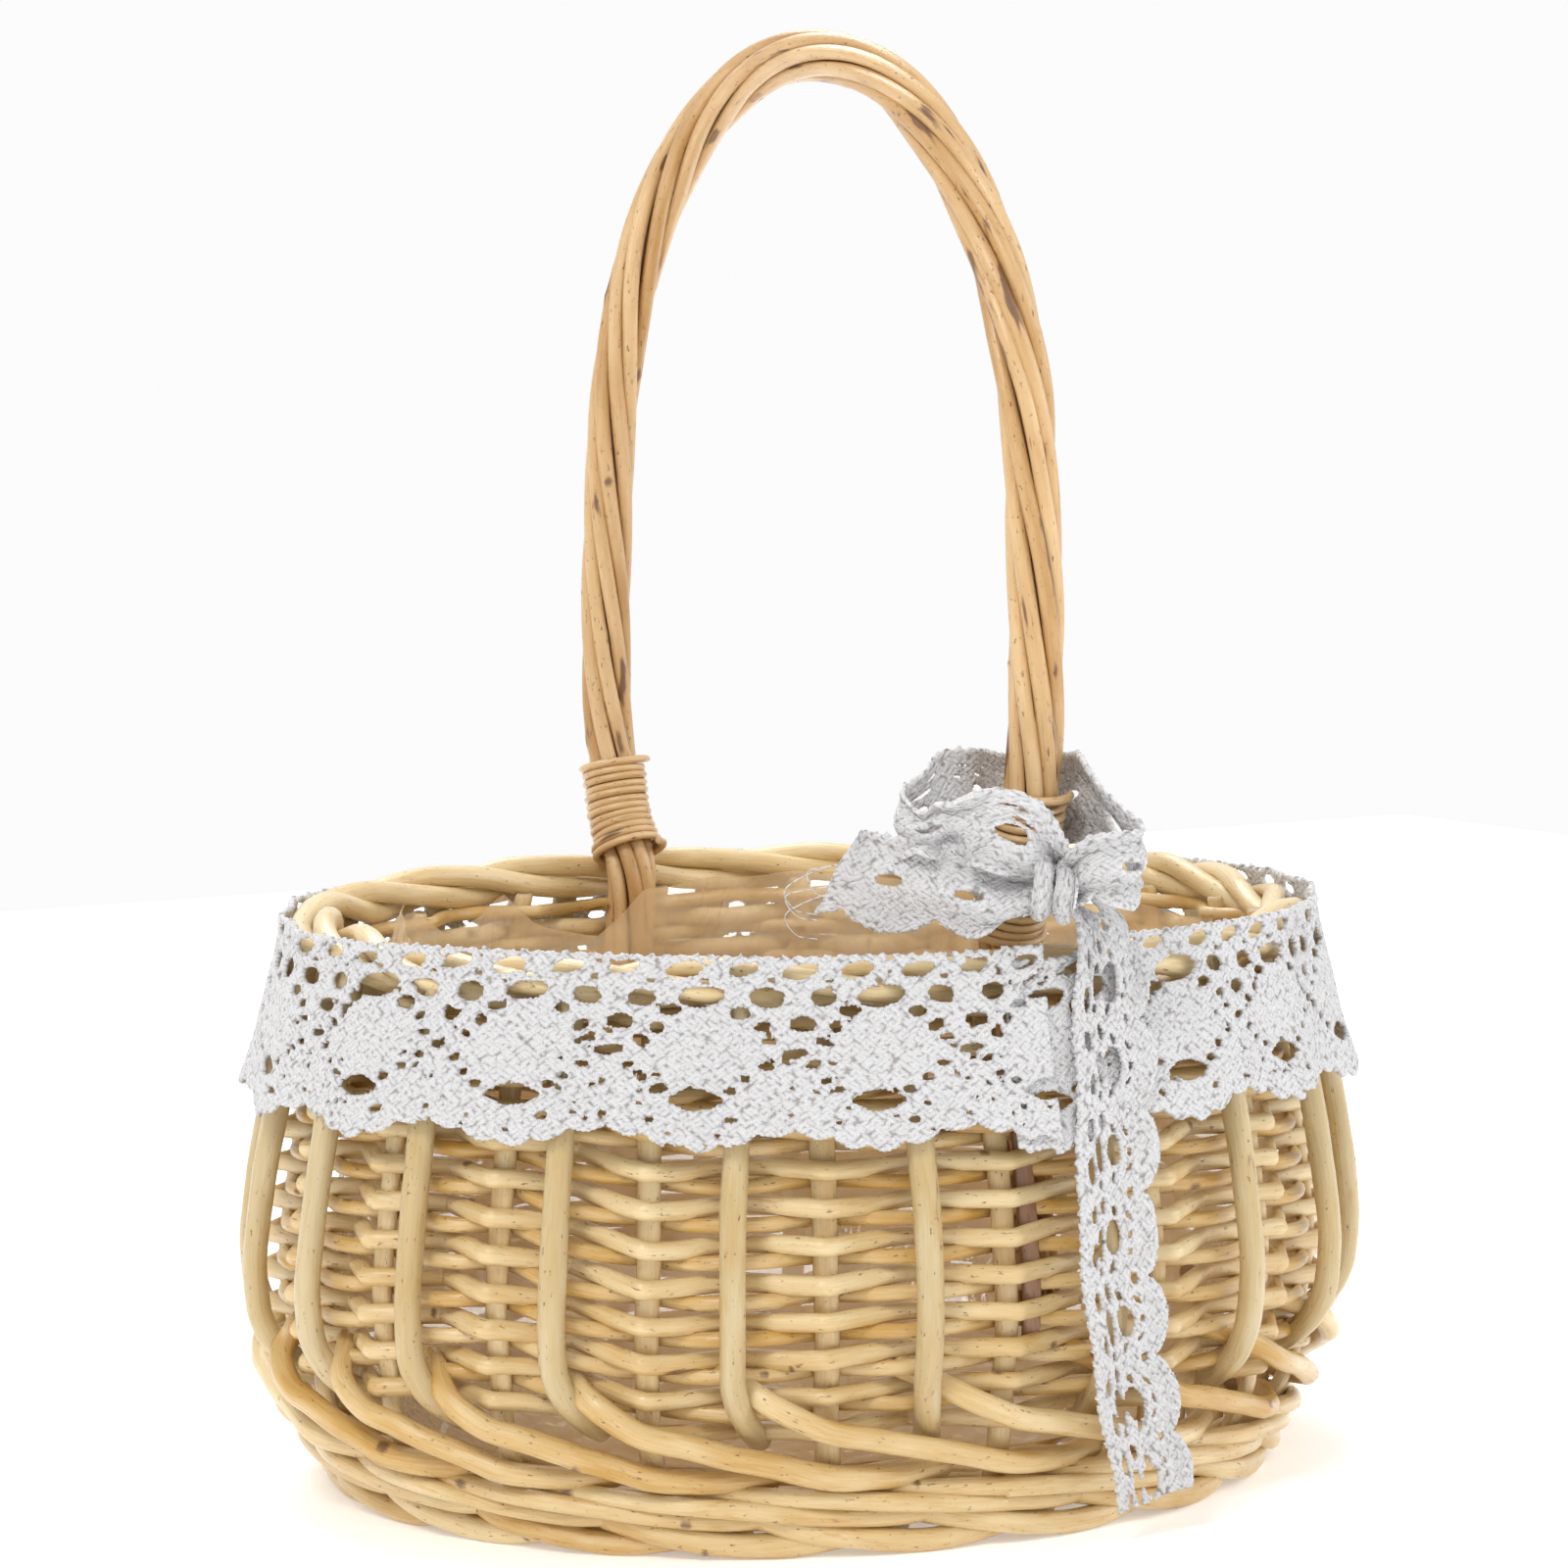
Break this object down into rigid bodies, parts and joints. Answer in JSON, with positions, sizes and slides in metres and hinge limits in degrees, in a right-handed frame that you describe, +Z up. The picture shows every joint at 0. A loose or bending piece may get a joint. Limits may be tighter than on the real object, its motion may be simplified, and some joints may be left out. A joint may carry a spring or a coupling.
{
  "type": "flower girl basket",
  "caption": "Oval willow basket with a fixed twisted-rod handle over its short axis, a lace band and bow round the rim, and a clear film liner.",
  "frame": {"origin": "on the resting plane, at the centre of the oval basket", "axes": "+Z up, +X along the oval's length, the bow and the front foot of the handle on the -Y side"},
  "size_m": [0.2486, 0.2033, 0.3],
  "materials": {
    "willow": "peeled white willow, smooth and slightly glossy, cream to honey, with small brown flecks",
    "handle_willow": "buff willow, tan, satin, with brown knots and patches of bark",
    "cotton_lace": "white cotton crochet-type lace, matt",
    "clear_film": "thin clear plastic film, crumpled, glossy"
  },
  "bodies": {
    "root": {"base_weave": "willow", "base_cross_stick_1": "willow", "base_cross_stick_2": "willow", "base_cross_stick_3": "willow", "base_cross_stick_4": "willow", "base_long_stick_1": "willow", "base_long_stick_2": "willow", "foot_border_1": "willow", "foot_border_2": "willow", "lower_wale_1": "willow", "lower_wale_2": "willow", "upper_wale_1": "willow", "upper_wale_2": "willow", "upper_wale_3": "willow", "side_weave_lower": "willow", "side_weave_upper": "willow", "outer_stake_01": "willow", "outer_stake_02": "willow", "outer_stake_03": "willow", "outer_stake_04": "willow", "outer_stake_05": "willow", "outer_stake_06": "willow", "outer_stake_07": "willow", "outer_stake_08": "willow", "outer_stake_09": "willow", "outer_stake_10": "willow", "outer_stake_11": "willow", "outer_stake_12": "willow", "outer_stake_13": "willow", "outer_stake_14": "willow", "outer_stake_15": "willow", "outer_stake_16": "willow", "outer_stake_17": "willow", "outer_stake_18": "willow", "outer_stake_19": "willow", "outer_stake_20": "willow", "top_border_1": "willow", "top_border_2": "willow", "top_border_3": "willow", "handle_core": "handle_willow", "handle_rod_1": "handle_willow", "handle_rod_2": "handle_willow", "handle_rod_3": "handle_willow", "handle_rod_4": "handle_willow", "handle_rod_5": "handle_willow", "handle_rod_6": "handle_willow", "handle_rod_7": "handle_willow", "handle_binding_front": "handle_willow", "handle_binding_back": "handle_willow", "lace_trim": "cotton_lace", "liner": "clear_film", "bow_wrap": "cotton_lace", "bow_tail": "cotton_lace", "bow_knot": "cotton_lace", "bow_loop_left": "cotton_lace", "bow_loop_upper": "cotton_lace", "bow_loop_back": "cotton_lace", "bow_loop_right": "cotton_lace"}
  },
  "joints": []
}
